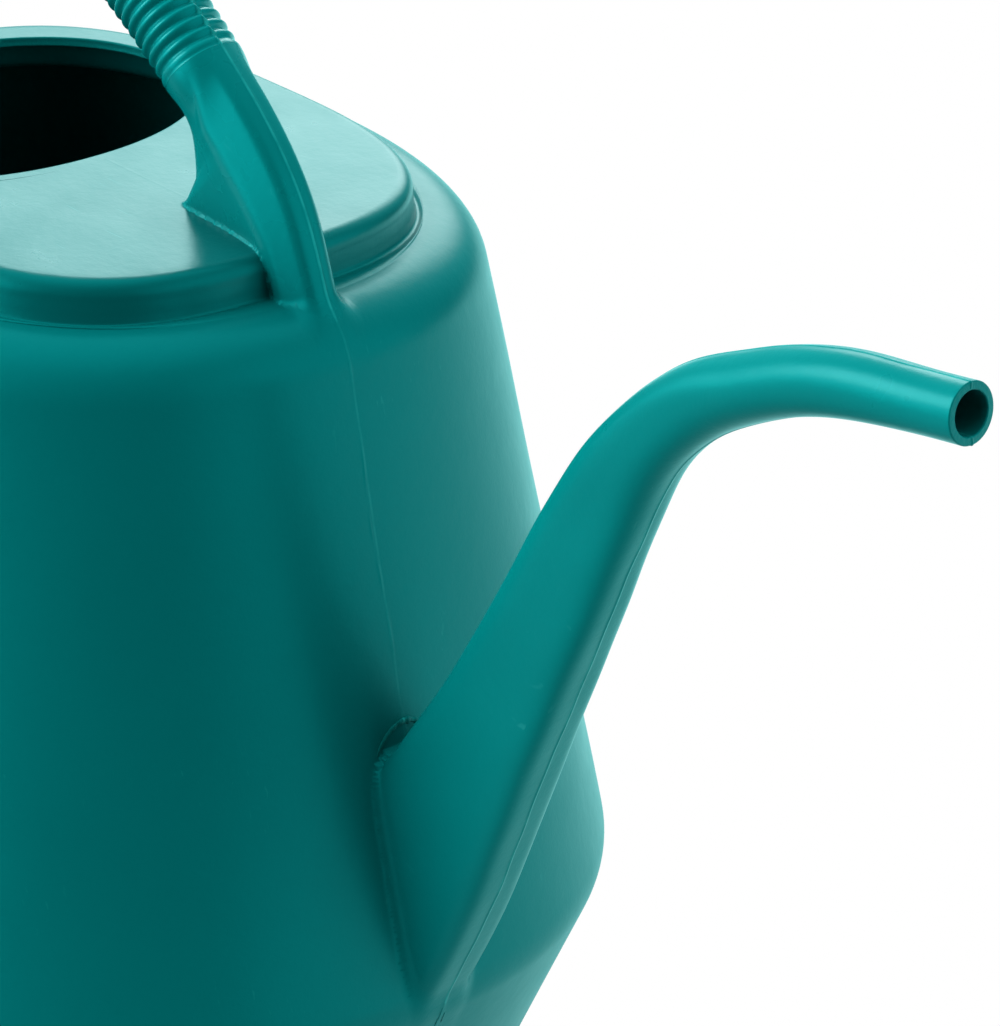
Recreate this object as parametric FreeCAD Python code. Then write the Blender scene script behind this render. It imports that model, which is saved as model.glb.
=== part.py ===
import FreeCAD, Part
import math
import os

# A blow-moulded garden watering can, in millimetres. X points towards the spout, Y to the side and
# Z up. The origin is on the ground under the middle of the body. The can is symmetric about y = 0,
# the plane in which the two halves of its mould met.

# wall
wall = 2.2

# body: half sizes of the three levels where its straight walls would meet
belly_half_length = 137.0
belly_half_width = 112.0
belly_height = 70.0
shoulder_height = 219.5
upper_taper_length = 39.5
upper_taper_width = 29.0
lower_taper_length = 28.0
lower_taper_width = 22.5
base_round = 10.0
belly_round = 14.0
shoulder_round = 14.3
belly_band_reach = 11.0
base_pan_reach = 0.5
body_roundness = 2.29

# recess under the base
standing_ring_width = 9.0
base_recess = 5.0

# raised deck, placed by the ledge that the shoulder leaves in front, behind and beside it
front_ledge = 16.9
rear_ledge = 27.1
side_ledge = 19.4
deck_rise = 9.2
deck_round = 4.0
deck_roundness = 2.86

# filling mouth, placed by the land behind and beside it; the rear land is a share of the deck's half
# length, so that a longer deck keeps the mouth clear of its narrower back
mouth_length = 75.4
mouth_rear_share = 0.118
mouth_side_land = 12.9
mouth_lip_width = 3.0
mouth_roundness = 2.14

# handle: a front leg up from the deck's front edge, a front arc over the mouth and a tighter rear
# arc down to the back of the body. Stations of a run in the y = 0 plane are (ahead, above, heading,
# depth, back width, front width, roundness), where heading is the angle of the run above level, and
# back and front are its left and right side to someone who looks at it with the spout on the right.
# The leg's stations are measured from the deck's front edge and the shoulder's height.
handle_thickness = 18.3
leg_stations = (
    (8.4, -8.5, 114.0, 14.2, 14.6, 14.6, 2.6),
    (3.4, 3.0, 114.0, 14.8, 15.2, 15.2, 2.6),
    (-2.6, 15.0, 123.0, 15.9, 16.2, 16.2, 2.6),
    (-14.1, 28.5, 133.0, 17.1, 17.4, 17.4, 2.4),
    (-32.1, 42.7, 143.0, handle_thickness, handle_thickness, handle_thickness, 2.2),
)
handle_front_radius = 180.0
handle_rear_clearance = 56.5
handle_rear_turn = 22.0
rear_leg_roundness = 2.4
grip_rear_angle = 40.0
rear_leg_run = 70.0

# web in the corner under the front leg
web_toe_behind = 34.6
web_edge_behind = 30.3
web_edge_rise = 8.0
web_top_behind = 25.0
web_top_rise = 21.0
web_thickness = 4.0
web_root_thickness = 12.0
web_sink = 6.0

# spout: its stations are measured from the belly's front
spout_tip_diameter = 12.4
spout_tip_bore = 8.8
spout_tip_length = 10.0
bend_station = (76.1, 174.9, 27.0, 14.3, 14.3, 14.3, 2.0)
trunk_stations = (
    (-30.0, -2.0, 65.4, 50.0, 20.0, 16.6, 4.0),
    (-4.3, 38.7, 65.4, 38.5, 20.0, 16.6, 4.0),
    (9.1, 64.5, 65.4, 31.0, 19.4, 16.2, 3.8),
    (27.9, 105.0, 66.0, 24.2, 17.8, 14.8, 3.4),
    (38.7, 130.3, 64.5, 22.0, 16.6, 14.0, 3.0),
    (54.6, 158.2, 47.0, 17.2, 15.2, 14.2, 2.5),
    (68.6, 170.8, 36.0, 15.2, 14.6, 14.2, 2.2),
    bend_station,
)
neck_stations = (
    bend_station,
    (86.2, 179.9, 23.0, 13.8, 13.8, 13.8, 2.0),
    (106.3, 186.2, 12.5, 13.3, 13.3, 13.3, 2.0),
    (122.6, 188.9, 8.0, spout_tip_diameter, spout_tip_diameter, spout_tip_diameter, 2.0),
)

# how finely curved outlines are drawn
ring_points = 48
section_points = 24
round_levels = 6


# ---- sizes that follow from the ones above ----

shoulder_half_length = belly_half_length - upper_taper_length
shoulder_half_width = belly_half_width - upper_taper_width
base_half_length = belly_half_length - lower_taper_length
base_half_width = belly_half_width - lower_taper_width

deck_half_length = shoulder_half_length - (front_ledge + rear_ledge) / 2
deck_half_width = shoulder_half_width - side_ledge
deck_x = (rear_ledge - front_ledge) / 2
deck_front = deck_x + deck_half_length
deck_height = shoulder_height + deck_rise

mouth_half_length = mouth_length / 2
mouth_half_width = deck_half_width - mouth_side_land
mouth_rear_land = mouth_rear_share * deck_half_length
mouth_x = deck_x - deck_half_length + mouth_rear_land + mouth_half_length

grip_start = math.radians(leg_stations[-1][2] - 90)
front_centre_x = deck_front + leg_stations[-1][0] - handle_front_radius * math.cos(grip_start)
front_centre_z = shoulder_height + leg_stations[-1][1] - handle_front_radius * math.sin(grip_start)
apex_z = front_centre_z + handle_front_radius
rear_radius = front_centre_x + shoulder_half_length + handle_rear_clearance
rear_centre_z = apex_z - rear_radius

side_axis = FreeCAD.Vector(0, 1, 0)
up_axis = FreeCAD.Vector(0, 0, 1)


# ---- outlines ----

def power(value, exponent):
    return math.copysign(abs(value) ** exponent, value)


def closed_curve(points):
    curve = Part.BSplineCurve()
    curve.interpolate(points, PeriodicFlag=True)
    return Part.Wire([curve.toShape()])


def ring(centre_x, half_length, half_width, roundness, z):
    """A level outline: an ellipse at roundness 2, squarer above it."""
    points = []
    for index in range(ring_points):
        turn = 2 * math.pi * index / ring_points
        x = centre_x + half_length * power(math.cos(turn), 2 / roundness)
        y = half_width * power(math.sin(turn), 2 / roundness)
        points.append(FreeCAD.Vector(x, y, z))
    return closed_curve(points)


def section(x, z, heading, depth, back_width, front_width, roundness):
    """An outline square to a run in the y = 0 plane. Its depth lies in that plane."""
    angle = math.radians(heading)
    points = []
    for index in range(section_points):
        turn = 2 * math.pi * index / section_points
        across = power(math.cos(turn), 2 / roundness)
        width = back_width + (front_width - back_width) * (1 + across) / 2
        reach = across * depth / 2
        y = power(math.sin(turn), 2 / roundness) * width / 2
        points.append(FreeCAD.Vector(x + reach * math.sin(angle), y, z - reach * math.cos(angle)))
    return closed_curve(points)


def prism(outline, height):
    return Part.Face(outline).extrude(up_axis * height)


# ---- body profile ----

def wall_profile(base_half, belly_half, shoulder_half):
    """Slopes and rounding centres of one side of the body, as seen from the front or the side."""
    low_slope = (belly_half - base_half) / belly_height
    high_slope = (shoulder_half - belly_half) / (shoulder_height - belly_height)
    low_stretch = math.hypot(1, low_slope)
    high_stretch = math.hypot(1, high_slope)
    high_start = belly_half - high_slope * belly_height
    base_x = base_half + low_slope * base_round - base_round * low_stretch
    belly_z = (high_start - base_half - belly_round * (high_stretch - low_stretch)) / (low_slope - high_slope)
    belly_x = base_half + low_slope * belly_z - belly_round * low_stretch
    shoulder_z = shoulder_height - shoulder_round
    shoulder_x = high_start + high_slope * shoulder_z - shoulder_round * high_stretch
    return {
        "low": (base_half, low_slope, low_stretch),
        "high": (high_start, high_slope, high_stretch),
        "base": (base_x, base_round, base_round),
        "belly": (belly_x, belly_z, belly_round),
        "shoulder": (shoulder_x, shoulder_z, shoulder_round),
    }


length_profile = wall_profile(base_half_length, belly_half_length, shoulder_half_length)
width_profile = wall_profile(base_half_width, belly_half_width, shoulder_half_width)


def half_size(profile, z, inset):
    """Half size of the body at height z, measured to a surface that lies inset inside its skin."""
    def on_round(name):
        x, centre_z, radius = profile[name]
        return x + math.sqrt(max((radius - inset) ** 2 - (z - centre_z) ** 2, 0))

    def on_line(name):
        start, slope, stretch = profile[name]
        return start + slope * z - inset * stretch

    def tangent(name, line):
        centre_z, radius = profile[name][1:]
        slope, stretch = profile[line][1:]
        return centre_z - slope * (radius - inset) / stretch

    if z < tangent("base", "low"):
        return on_round("base")
    if z < tangent("belly", "low"):
        return on_line("low")
    if z < tangent("belly", "high"):
        return on_round("belly")
    if z < tangent("shoulder", "high"):
        return on_line("high")
    return on_round("shoulder")


def body_ring(z, inset):
    half_length = half_size(length_profile, z, inset)
    half_width = half_size(width_profile, z, inset)
    return ring(0, half_length, half_width, body_roundness, z)


def even_levels(low, high, count):
    return [low + (high - low) * index / (count - 1) for index in range(count)]


def round_top_levels(low, centre_z, radius):
    """Levels from low up a rounded edge to its top, evenly spaced round the edge."""
    start = math.asin((low - centre_z) / radius)
    angles = even_levels(start, math.pi / 2, round_levels)
    return [centre_z + radius * math.sin(angle) for angle in angles]


def round_bottom_levels(high, radius, inset):
    angles = even_levels(math.pi / 2, math.asin((radius - high) / (radius - inset)), round_levels)
    return [radius - (radius - inset) * math.sin(angle) for angle in angles]


def body_loft(levels, inset):
    wires = [body_ring(z, inset) for z in levels]
    return Part.makeLoft(wires, True, len(levels) == 2)


base_pan_top = base_round + base_pan_reach
belly_low = belly_height - belly_band_reach
belly_high = belly_height + belly_band_reach
shoulder_low = shoulder_height - shoulder_round
straight_low = [base_pan_top, belly_low]
straight_high = [belly_high, shoulder_low]
belly_levels = even_levels(belly_low, belly_high, round_levels + 1)


def pan_loft(inset):
    bottom = round_bottom_levels(base_round, base_round, inset)
    return body_loft(bottom + [base_pan_top], inset)


def shoulder_loft(inset):
    return body_loft(round_top_levels(shoulder_low, shoulder_low, shoulder_round - inset), inset)


# ---- body regions ----

def base_pan():
    shell = pan_loft(0).cut(pan_loft(wall))
    recess_length = length_profile["base"][0] - standing_ring_width
    recess_width = width_profile["base"][0] - standing_ring_width
    raised = ring(0, recess_length + wall, recess_width + wall, body_roundness, 0)
    hollow = ring(0, recess_length, recess_width, body_roundness, 0)
    shell = shell.fuse(prism(raised, base_recess + wall))
    return shell.cut(prism(hollow, base_recess))


def wall_band(levels):
    return body_loft(levels, 0).cut(body_loft(levels, wall))


def deck_ring(inset, z):
    return ring(deck_x, deck_half_length - inset, deck_half_width - inset, deck_roundness, z)


def shoulder_ring():
    shell = shoulder_loft(0).cut(shoulder_loft(wall))
    opening = deck_ring(wall, shoulder_low)
    return shell.cut(prism(opening, 2 * shoulder_round))


def deck_loft(inset):
    """The raised deck's block, with its top edge rounded."""
    radius = deck_round - inset
    centre_z = deck_height - deck_round
    wires = [deck_ring(inset, shoulder_height)]
    for angle in even_levels(0, math.pi / 2, round_levels):
        edge_inset = deck_round - radius * math.cos(angle)
        wires.append(deck_ring(edge_inset, centre_z + radius * math.sin(angle)))
    block = Part.makeLoft(wires[:2], True, True)
    return block.fuse(Part.makeLoft(wires[1:], True, False))


def deck_wall():
    shell = deck_loft(0).cut(deck_loft(wall))
    return shell.cut(prism(deck_ring(deck_round, shoulder_height), 2 * deck_rise))


def mouth_ring(outset, z):
    half_length = mouth_half_length + outset
    return ring(mouth_x, half_length, mouth_half_width + outset, mouth_roundness, z)


def deck_top():
    plate = prism(deck_ring(deck_round, deck_height - wall), wall)
    return plate.cut(prism(mouth_ring(mouth_lip_width, deck_height - 2 * wall), 3 * wall))


def mouth_lip():
    lip = prism(mouth_ring(mouth_lip_width, deck_height - wall), wall)
    return lip.cut(prism(mouth_ring(0, deck_height - 2 * wall), 3 * wall))


def body_block():
    """The body's whole outside as one block, to trim what is joined to it."""
    block = pan_loft(0)
    for levels in (straight_low, belly_levels, straight_high):
        block = block.fuse(body_loft(levels, 0))
    return block.fuse(shoulder_loft(0)).fuse(deck_loft(0))


# ---- runs through stations ----

def station_loft(stations, start_x, start_z, inset):
    wires = []
    for ahead, above, heading, depth, back_width, front_width, roundness in stations:
        sizes = [size - 2 * inset for size in (depth, back_width, front_width)]
        wires.append(section(start_x + ahead, start_z + above, heading, *sizes, roundness))
    return Part.makeLoft(wires, True, False)


def largest(shape):
    """The biggest solid of a trimmed shape: what lies outside the body."""
    return max(shape.Solids, key=lambda solid: solid.Volume)


# ---- handle ----

def arc_tube(centre_z, radius, start, end, inset, roundness):
    """A length of the handle, from start to end degrees round an arc above front_centre_x."""
    size = handle_thickness - 2 * inset
    x = front_centre_x + radius * math.cos(math.radians(start))
    z = centre_z + radius * math.sin(math.radians(start))
    outline = section(x, z, start + 90, size, size, size, roundness)
    centre = FreeCAD.Vector(front_centre_x, 0, centre_z)
    return Part.Face(outline).revolve(centre, side_axis * -1, end - start)


def front_leg_tube(inset):
    return station_loft(leg_stations, deck_front, shoulder_height, inset)


def grip_tube(inset):
    start = math.degrees(grip_start)
    front = arc_tube(front_centre_z, handle_front_radius, start, 90, inset, 2)
    return front.fuse(arc_tube(rear_centre_z, rear_radius, 90, 90 + grip_rear_angle, inset, 2))


def rear_leg_tube(inset):
    last = 180 + handle_rear_turn
    arc = arc_tube(rear_centre_z, rear_radius, 90 + grip_rear_angle, last, inset, rear_leg_roundness)
    turn = math.radians(last)
    x = front_centre_x + rear_radius * math.cos(turn)
    z = rear_centre_z + rear_radius * math.sin(turn)
    size = handle_thickness - 2 * inset
    outline = section(x, z, last + 90, size, size, size, rear_leg_roundness)
    run = FreeCAD.Vector(-math.sin(turn), 0, math.cos(turn)) * rear_leg_run
    return arc.fuse(Part.Face(outline).extrude(run))


def handle_front_leg(block):
    return largest(front_leg_tube(0).cut(front_leg_tube(wall)).cut(block))


def handle_grip():
    return grip_tube(0).cut(grip_tube(wall)).removeSplitter()


def handle_rear_leg(block):
    return largest(rear_leg_tube(0).cut(rear_leg_tube(wall)).cut(block))


def flat_face(points):
    corners = [FreeCAD.Vector(*point) for point in points]
    return Part.Face(Part.makePolygon(corners + corners[:1]))


def handle_web(block):
    """A pinched plate that thickens towards the leg, with a hollow curve for its free edge."""
    toe = FreeCAD.Vector(deck_front - web_toe_behind, 0, deck_height)
    middle = FreeCAD.Vector(deck_front - web_edge_behind, 0, deck_height + web_edge_rise)
    top = FreeCAD.Vector(deck_front - web_top_behind, 0, deck_height + web_top_rise)
    low_toe = FreeCAD.Vector(toe.x, 0, deck_height - web_sink)
    low_front = FreeCAD.Vector(deck_front + leg_stations[0][0], 0, deck_height - web_sink)
    edges = [
        Part.Arc(toe, middle, top).toShape(),
        Part.makeLine(top, low_front),
        Part.makeLine(low_front, low_toe),
        Part.makeLine(low_toe, toe),
    ]
    side = Part.Face(Part.Wire(edges))
    side.translate(side_axis * -handle_thickness)
    blade = side.extrude(side_axis * 2 * handle_thickness)
    plan = flat_face((
        (toe.x, -web_thickness / 2, 0),
        (low_front.x, -web_root_thickness / 2, 0),
        (low_front.x, web_root_thickness / 2, 0),
        (toe.x, web_thickness / 2, 0),
    ))
    return largest(blade.common(plan.extrude(up_axis * 2 * apex_z)).cut(front_leg_tube(0)).cut(block))


# ---- spout ----

def spout_loft(stations, inset):
    return station_loft(stations, belly_half_length, belly_height, inset)


def spout_wall():
    return (spout_tip_diameter - spout_tip_bore) / 2


def spout_trunk(block):
    return largest(spout_loft(trunk_stations, 0).cut(spout_loft(trunk_stations, spout_wall())).cut(block))


def spout_neck():
    return spout_loft(neck_stations, 0).cut(spout_loft(neck_stations, spout_wall()))


def spout_tip():
    ahead, above, heading = neck_stations[-1][:3]
    start = FreeCAD.Vector(belly_half_length + ahead, 0, belly_height + above)
    angle = math.radians(heading)
    along = FreeCAD.Vector(math.cos(angle), 0, math.sin(angle))
    outside = Part.makeCylinder(spout_tip_diameter / 2, spout_tip_length, start, along)
    return outside.cut(Part.makeCylinder(spout_tip_bore / 2, spout_tip_length, start, along))


# ---- assembly ----

def build_nodes():
    block = body_block()
    water_way = spout_loft(trunk_stations, spout_wall())
    rear_way = rear_leg_tube(wall)
    nodes = {
        "base_pan": base_pan(),
        "lower_wall": wall_band(straight_low),
        "belly_band": wall_band(belly_levels).cut(water_way),
        "upper_wall": wall_band(straight_high).cut(water_way).cut(rear_way),
        "shoulder_ring": shoulder_ring(),
        "deck_wall": deck_wall(),
        "deck_top": deck_top(),
        "mouth_lip": mouth_lip(),
        "handle_front_leg": handle_front_leg(block),
        "handle_web": handle_web(block),
        "handle_grip": handle_grip(),
        "handle_rear_leg": handle_rear_leg(block),
        "spout_trunk": spout_trunk(block),
        "spout_neck": spout_neck(),
        "spout_tip": spout_tip(),
    }
    return nodes


os.makedirs("parts", exist_ok=True)
for name, shape in build_nodes().items():
    shape.exportStep("parts/" + name + ".step")
    print(name, len(shape.Solids), shape.isValid(), round(shape.Volume))
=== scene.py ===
import math
from functools import partial

import bpy
import numpy as np
from mathutils import Matrix, Vector
from mathutils.bvhtree import BVHTree


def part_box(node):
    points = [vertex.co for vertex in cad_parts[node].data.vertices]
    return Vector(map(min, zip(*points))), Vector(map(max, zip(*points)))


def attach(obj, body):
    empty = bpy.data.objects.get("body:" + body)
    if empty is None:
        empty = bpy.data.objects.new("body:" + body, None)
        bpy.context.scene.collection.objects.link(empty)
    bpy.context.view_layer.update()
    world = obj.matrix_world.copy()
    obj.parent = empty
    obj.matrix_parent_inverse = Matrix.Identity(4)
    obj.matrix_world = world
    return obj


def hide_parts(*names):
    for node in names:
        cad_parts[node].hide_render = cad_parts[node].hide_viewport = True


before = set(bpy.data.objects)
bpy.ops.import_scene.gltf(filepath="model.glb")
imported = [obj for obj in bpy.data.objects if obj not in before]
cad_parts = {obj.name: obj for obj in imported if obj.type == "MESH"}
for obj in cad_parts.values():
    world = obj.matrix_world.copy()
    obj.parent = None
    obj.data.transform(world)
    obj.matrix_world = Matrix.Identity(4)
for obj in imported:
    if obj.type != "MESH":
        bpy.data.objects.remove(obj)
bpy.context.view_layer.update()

mm = 0.001
print("frame loaded")


# small helpers: all shapes below are worked out in millimetres

def ease(low, high, value):
    t = np.clip((value - low) / (high - low), 0, 1)
    return t * t * (3 - 2 * t)


def bell(value, width):
    return np.exp(-(value / width) ** 2)


def nodeBox(name):
    low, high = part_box(name)
    return np.array(low) / mm, np.array(high) / mm


def steps(low, high, gap):
    count = max(2, int(round(abs(high - low) / gap)) + 1)
    return np.linspace(low, high, count)


def naturalSpline(knots, values, at):
    knots, values = np.array(knots, float), np.array(values, float)
    n, h = len(knots), np.diff(knots)
    system, right = np.eye(n), np.zeros(n)
    for i in range(1, n - 1):
        system[i, i - 1:i + 2] = h[i - 1], 2 * (h[i - 1] + h[i]), h[i]
        right[i] = 6 * ((values[i + 1] - values[i]) / h[i] - (values[i] - values[i - 1]) / h[i - 1])
    bend = np.linalg.solve(system, right)
    i = np.clip(np.searchsorted(knots, at) - 1, 0, n - 2)
    a, b = knots[i + 1] - at, at - knots[i]
    line = (values[i] / h[i] - bend[i] * h[i] / 6) * a + (values[i + 1] / h[i] - bend[i + 1] * h[i] / 6) * b
    return (bend[i] * a ** 3 + bend[i + 1] * b ** 3) / (6 * h[i]) + line


def gridNormals(points):
    # one normal for each point of a grid whose columns close on themselves
    side = np.roll(points, -1, 1) - points
    up = points[1:] - points[:-1]
    total = np.zeros_like(points)
    for column in (0, 1):
        s = np.roll(side, column, 1)
        for row in (0, 1):
            rows = slice(row, len(points) - 1 + row)
            total[rows] += np.cross(s[rows], up)
    length = np.linalg.norm(total, axis=2, keepdims=True)
    return total / np.maximum(length, 1e-12)


def ripple(points, size, height, seed, waves=7, spread=(0.7, 1.5), fullTurn=6.28):
    # the slow unevenness of a blown wall
    rng = np.random.default_rng(seed)
    total = np.zeros(points.shape[:-1])
    for _ in range(waves):
        way = rng.normal(size=3)
        way *= 2 * math.pi / (size * rng.uniform(*spread) * np.linalg.norm(way))
        total += np.sin(points @ way + rng.uniform(0, fullTurn))
    return total * height / (waves / 2)


def gridQuads(rows, cols, first=0):
    r, c = np.meshgrid(np.arange(rows - 1), np.arange(cols), indexing="ij")
    a = first + r * cols + c
    b = first + r * cols + (c + 1) % cols
    return np.stack([a, b, b + cols, a + cols], -1).reshape(-1, 4)


def assemble(name, strips, links=(), poles=()):
    # strips are (points, normals, flip) grids; links and poles close them into a solid
    verts, normals, faces, starts = [], [], [], []
    for points, outward, flip in strips:
        rows, cols = points.shape[:2]
        first = sum(len(v) for v in verts)
        starts.append((first, rows, cols))
        verts.append(points.reshape(-1, 3))
        normals.append((-outward if flip else outward).reshape(-1, 3))
        quads = gridQuads(rows, cols, first)
        faces += (quads[:, ::-1] if flip else quads).tolist()
    verts, normals = np.concatenate(verts), np.concatenate(normals)
    loopNormals = normals[np.array(faces).reshape(-1)].tolist()

    def flat(face):
        p = verts[face[:3]]
        n = np.cross(p[1] - p[0], p[2] - p[0])
        n = n / max(np.linalg.norm(n), 1e-12)
        return [n.tolist()] * len(face)

    def loop(which):
        first, rows, cols = starts[which[0]]
        return first + (which[1] % rows) * cols + np.arange(cols)

    for one, two, flip in links:
        a, b = loop(one), loop(two)
        quads = np.stack([a, np.roll(a, -1), np.roll(b, -1), b], -1)
        for face in (quads[:, ::-1] if flip else quads).tolist():
            faces.append(face)
            loopNormals += flat(face)
    for which, point, flip in poles:
        a = loop(which)
        verts = np.vstack([verts, point])
        tris = np.stack([a, np.roll(a, -1), np.full(len(a), len(verts) - 1)], -1)
        for face in (tris[:, ::-1] if flip else tris).tolist():
            faces.append(face)
            loopNormals += flat(face)
    mesh = bpy.data.meshes.new(name)
    mesh.from_pydata((verts * mm).tolist(), [], faces)
    mesh.polygons.foreach_set("use_smooth", [True] * len(mesh.polygons))
    mesh.normals_split_custom_set(loopNormals)
    mesh.update()
    obj = bpy.data.objects.new(name, mesh)
    bpy.context.scene.collection.objects.link(obj)
    return obj


def solidTree(points):
    # a search tree over a grid, to measure how far a point stands outside it
    corners = [Vector(p) for p in points.reshape(-1, 3)]
    return BVHTree.FromPolygons(corners, gridQuads(*points.shape[:2]).tolist())


def standOff(tree, point):
    near, normal, _, distance = tree.find_nearest(point)
    return distance if (point - near).dot(normal) >= 0 else -distance


def meet(points, normals, tree, reach, low, high, keepIn):
    # lifts a grid onto the rounded inside corner that it makes with another surface, and tucks what
    # lies beyond the middle of that corner just under the other surface's own half
    sink = np.zeros(points.shape[:2])
    moved = points.copy()
    buried = []
    inside = np.all((points > low) & (points < high), axis=2)
    for r, c in np.argwhere(inside):
        p, n = Vector(points[r, c]), Vector(normals[r, c])
        k = reach(points[r, c])
        start = standOff(tree, p)
        if start > k:
            continue
        if keepIn and start < -k:
            buried.append((r, c))
            continue
        lift, gap = k, k
        if standOff(tree, p + n * k) >= 0:
            least, most = 0.0, k
            for _ in range(meetForm["halvings"]):
                lift = (least + most) / 2
                other = standOff(tree, p + n * lift)
                h = max(k - abs(lift - other), 0)
                if min(lift, other) - h * h / (4 * k) < 0:
                    least = lift
                else:
                    most = lift
            gap = lift - other
        moved[r, c] = points[r, c] + normals[r, c] * lift
        sink[r, c] = meetForm["tuck"] * ease(0, k / 3, gap)
    outward = gridNormals(moved)
    moved = moved - outward * sink[..., None]
    for r, c in buried:
        near, normal, _, _ = tree.find_nearest(Vector(points[r, c]))
        moved[r, c] = np.array(near - normal * keepIn)
    return moved, outward


# body: rings from the underside up to the mouth

bodyForm = dict(
    bellyHalf=(137.0, 112.0), bellyZ=70.0,
    shoulderHalf=(97.5, 83.0), shoulderZ=219.5,
    baseHalf=(109.0, 89.5), power=2.29,
    baseRound=10.0, bellyRound=14.0, shoulderRound=14.3,
    wall=2.2, standWidth=9.0, recess=5.0, ledgeCrown=0.35, creaseRound=0.7,
    closeRows=(36.0, 144.0), closeGap=0.7,
)
deckForm = dict(
    power=2.86, edgeRound=4.0, tilt=0.6,
    webToe=48.5, gaps=((6, 0.55), (16, 1.1), (math.inf, 2.2)),  # rows lie closer beside the web's toe
)
surfaceForm = dict(
    wall=dict(size=70, height=0.22, seed=4), wallLow=(12, 30), wallHigh=(222, 228),
    deck=dict(size=60, height=0.12, seed=9), deckStep=(-0.3, -0.1),
    spout=dict(size=22, height=0.1, seed=21), spoutStart=(30, 60),
)
mouthForm = dict(power=2.14, lip=3.0, cutRound=0.35, cutBow=0.12)
columnGaps = dict(seam=(0.14, 0.3, 0.5, 0.75, 1.1, 1.6), near=0.55, nearReach=17.0, side=3.2)

deckLow, deckHigh = nodeBox("deck_wall")
lipLow, lipHigh = nodeBox("mouth_lip")
bellyLow, bellyHigh = nodeBox("belly_band")
shoulderLow, _ = nodeBox("shoulder_ring")
_, panHigh = nodeBox("base_pan")
deckX = (deckLow[0] + deckHigh[0]) / 2
deckHalf = (deckHigh[:2] - deckLow[:2]) / 2
deckZ = nodeBox("deck_top")[1][2]
mouthX = (lipLow[0] + lipHigh[0]) / 2
mouthHalf = (lipHigh[:2] - lipLow[:2]) / 2 - mouthForm["lip"]


def wallSide(axis):
    f = bodyForm
    belly, shoulder, base = f["bellyHalf"][axis], f["shoulderHalf"][axis], f["baseHalf"][axis]
    low = (belly - base) / f["bellyZ"]
    high = (shoulder - belly) / (f["shoulderZ"] - f["bellyZ"])
    highStart = belly - high * f["bellyZ"]
    stretchLow, stretchHigh = math.hypot(1, low), math.hypot(1, high)
    bellyZ = (highStart - base - f["bellyRound"] * (stretchHigh - stretchLow)) / (low - high)
    shoulderZ = f["shoulderZ"] - f["shoulderRound"]
    rounds = dict(
        base=(base + low * f["baseRound"] - f["baseRound"] * stretchLow, f["baseRound"], f["baseRound"]),
        belly=(base + low * bellyZ - f["bellyRound"] * stretchLow, bellyZ, f["bellyRound"]),
        shoulder=(highStart + high * shoulderZ - f["shoulderRound"] * stretchHigh, shoulderZ,
                  f["shoulderRound"]),
    )
    return rounds, (base, low, stretchLow), (highStart, high, stretchHigh)


wallSides = (wallSide(0), wallSide(1))


def halfAt(axis, z, inset):
    rounds, low, high = wallSides[axis]

    def onRound(name):
        x, centre, radius = rounds[name]
        return x + math.sqrt(max((radius - inset) ** 2 - (z - centre) ** 2, 0))

    def tangent(name, line):
        _, centre, radius = rounds[name]
        return centre - line[1] * (radius - inset) / line[2]

    if z < tangent("base", low):
        return onRound("base")
    if z < tangent("belly", low):
        return low[0] + low[1] * z - inset * low[2]
    if z < tangent("belly", high):
        return onRound("belly")
    if z < tangent("shoulder", high):
        return high[0] + high[1] * z - inset * high[2]
    return onRound("shoulder")


def bodyRing(z, inset=0.0):
    return (0.0, halfAt(0, z, inset), halfAt(1, z, inset), bodyForm["power"], z)


def deckRing(inset, z):
    return (deckX, deckHalf[0] - inset, deckHalf[1] - inset, deckForm["power"], z)


def mouthRing(outset, z):
    return (mouthX, mouthHalf[0] + outset, mouthHalf[1] + outset, mouthForm["power"], z)


def between(one, two, shares):
    one, two = np.array(one), np.array(two)
    return [tuple(one + (two - one) * share) for share in shares]


def arcSteps(count, start=0.0, end=90.0):
    return [math.radians(a) for a in np.linspace(start, end, count)]


def baseRings(inset):
    # underside from its middle outwards, then up round the base's corner
    f = bodyForm
    baseX = (wallSides[0][0]["base"][0], wallSides[1][0]["base"][0])
    recess = tuple(x - f["standWidth"] + inset for x in baseX)
    top, foot = f["recess"] + inset, inset
    middle = (0.0, 0.6, 0.5, f["power"], top)
    edge = (0.0, recess[0] - 2, recess[1] - 2, f["power"], top)
    rings = between(middle, edge, np.linspace(0, 1, 16) ** 0.8)
    for a in arcSteps(5)[1:]:
        rings.append((0.0, recess[0] - 2 + 2 * math.sin(a), recess[1] - 2 + 2 * math.sin(a), f["power"],
                      top - 2 + 2 * math.cos(a)))
    for a in arcSteps(4):
        out = 0.8 - 0.8 * math.cos(a)
        rings.append((0.0, recess[0] + out, recess[1] + out, f["power"], foot + 0.8 - 0.8 * math.sin(a)))
    start = math.pi / 2
    radius = f["baseRound"] - inset
    for a in np.linspace(start, 0.5, 9):
        rings.append(bodyRing(f["baseRound"] - radius * math.sin(a), inset))
    rings += [bodyRing(z, inset) for z in np.linspace(rings[-1][4], panHigh[2], 5)[1:]]
    return rings


def creaseRing(inset, turn):
    # the small inside corner at the foot of the deck's wall
    corner = bodyForm["creaseRound"] + inset
    rise = corner - corner * math.cos(turn)
    return deckRing(inset - corner + corner * math.sin(turn), bodyForm["shoulderZ"] - inset + rise)


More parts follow.
